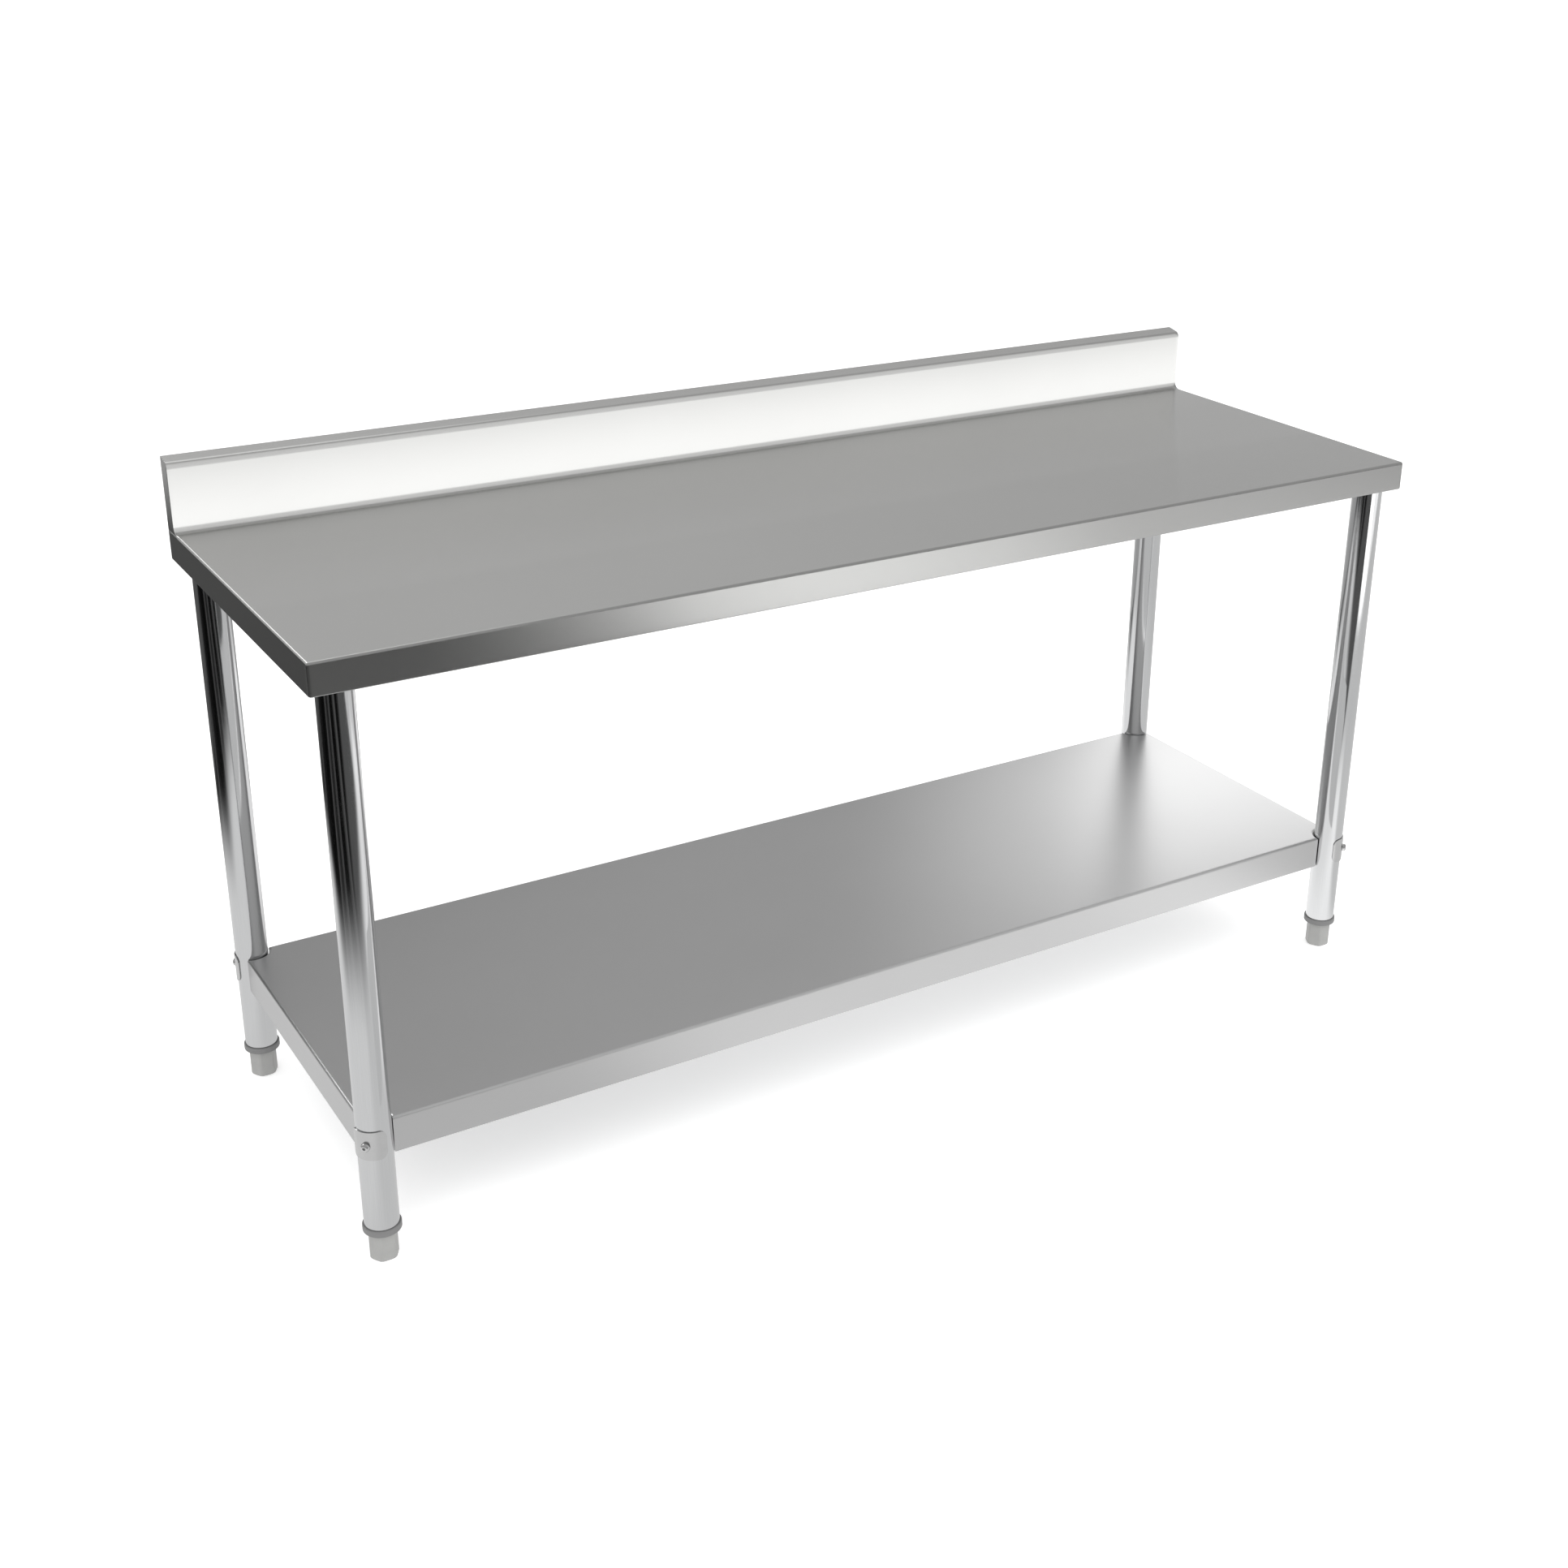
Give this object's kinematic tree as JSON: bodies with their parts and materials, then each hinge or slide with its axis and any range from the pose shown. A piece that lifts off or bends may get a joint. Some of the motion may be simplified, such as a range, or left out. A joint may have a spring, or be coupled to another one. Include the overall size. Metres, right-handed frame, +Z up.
{
  "type": "stainless work table",
  "caption": "Free-standing stainless work table with a rear upstand, an undershelf clamped to round tubular legs, and screw-adjustable feet.",
  "frame": {"origin": "floor level, under the centre of the plan", "axes": "+X to the right of a person working at the front, along the long side; +Y to the rear, where the upstand is; +Z up"},
  "size_m": [1.8, 0.6, 0.9853],
  "materials": {
    "worktop_sheet": "satin sheet, fine grain along the length",
    "shelf_sheet": "satin sheet, smooth",
    "leg_tube": "bright polished tube",
    "channel": "galvanised",
    "socket": "zinc plated, welded",
    "screw": "zinc plated",
    "clip": "bright pressed sheet",
    "bolt": "bright turned",
    "nut": "zinc plated",
    "plug": "moulded, fine texture",
    "stud": "zinc plated thread",
    "foot": "moulded, fine texture"
  },
  "bodies": {
    "table": {"worktop_skin": "worktop_sheet", "splash_end_cap_left": "worktop_sheet", "splash_end_cap_right": "worktop_sheet", "worktop_channel_front": "channel", "worktop_channel_rear": "channel", "worktop_cross_channel_left": "channel", "worktop_cross_channel_right": "channel", "shelf_tray": "shelf_sheet", "shelf_channel_front": "channel", "shelf_channel_rear": "channel", "leg_socket_front_left": "socket", "socket_screw_front_left": "screw", "leg_front_left": "leg_tube", "shelf_clip_front_left": "clip", "clip_bolt_front_left": "bolt", "clip_nut_front_left": "nut", "foot_plug_front_left": "plug", "leg_socket_front_right": "socket", "socket_screw_front_right": "screw", "leg_front_right": "leg_tube", "shelf_clip_front_right": "clip", "clip_bolt_front_right": "bolt", "clip_nut_front_right": "nut", "foot_plug_front_right": "plug", "leg_socket_rear_left": "socket", "socket_screw_rear_left": "screw", "leg_rear_left": "leg_tube", "shelf_clip_rear_left": "clip", "clip_bolt_rear_left": "bolt", "clip_nut_rear_left": "nut", "foot_plug_rear_left": "plug", "leg_socket_rear_right": "socket", "socket_screw_rear_right": "screw", "leg_rear_right": "leg_tube", "shelf_clip_rear_right": "clip", "clip_bolt_rear_right": "bolt", "clip_nut_rear_right": "nut", "foot_plug_rear_right": "plug"},
    "stud_front_left": {"foot_stud_front_left": "stud"},
    "sole_front_left": {"foot_front_left": "foot"},
    "stud_front_right": {"foot_stud_front_right": "stud"},
    "sole_front_right": {"foot_front_right": "foot"},
    "stud_rear_left": {"foot_stud_rear_left": "stud"},
    "sole_rear_left": {"foot_rear_left": "foot"},
    "stud_rear_right": {"foot_stud_rear_right": "stud"},
    "sole_rear_right": {"foot_rear_right": "foot"}
  },
  "joints": [
    {"name": "foot_travel_front_left", "type": "slide", "parent": "table", "child": "stud_front_left", "axis": [0, 0, -1], "range_m": [0, 0.024]},
    {"name": "foot_turn_front_left", "type": "hinge", "parent": "stud_front_left", "child": "sole_front_left", "pos_m": [-0.859, -0.267, 0.02], "axis": [0, 0, -1], "range_deg": [0, 5762]},
    {"name": "foot_travel_front_right", "type": "slide", "parent": "table", "child": "stud_front_right", "axis": [0, 0, -1], "range_m": [0, 0.024]},
    {"name": "foot_turn_front_right", "type": "hinge", "parent": "stud_front_right", "child": "sole_front_right", "pos_m": [0.859, -0.267, 0.02], "axis": [0, 0, -1], "range_deg": [0, 5762]},
    {"name": "foot_travel_rear_left", "type": "slide", "parent": "table", "child": "stud_rear_left", "axis": [0, 0, -1], "range_m": [0, 0.024]},
    {"name": "foot_turn_rear_left", "type": "hinge", "parent": "stud_rear_left", "child": "sole_rear_left", "pos_m": [-0.859, 0.267, 0.02], "axis": [0, 0, -1], "range_deg": [0, 5762]},
    {"name": "foot_travel_rear_right", "type": "slide", "parent": "table", "child": "stud_rear_right", "axis": [0, 0, -1], "range_m": [0, 0.024]},
    {"name": "foot_turn_rear_right", "type": "hinge", "parent": "stud_rear_right", "child": "sole_rear_right", "pos_m": [0.859, 0.267, 0.02], "axis": [0, 0, -1], "range_deg": [0, 5762]}
  ],
  "couplings": [
    {"joint": "foot_turn_front_left", "follows": "foot_travel_front_left", "rad_per_m": 4188.8},
    {"joint": "foot_turn_front_right", "follows": "foot_travel_front_right", "rad_per_m": 4188.8},
    {"joint": "foot_turn_rear_left", "follows": "foot_travel_rear_left", "rad_per_m": 4188.8},
    {"joint": "foot_turn_rear_right", "follows": "foot_travel_rear_right", "rad_per_m": 4188.8}
  ]
}
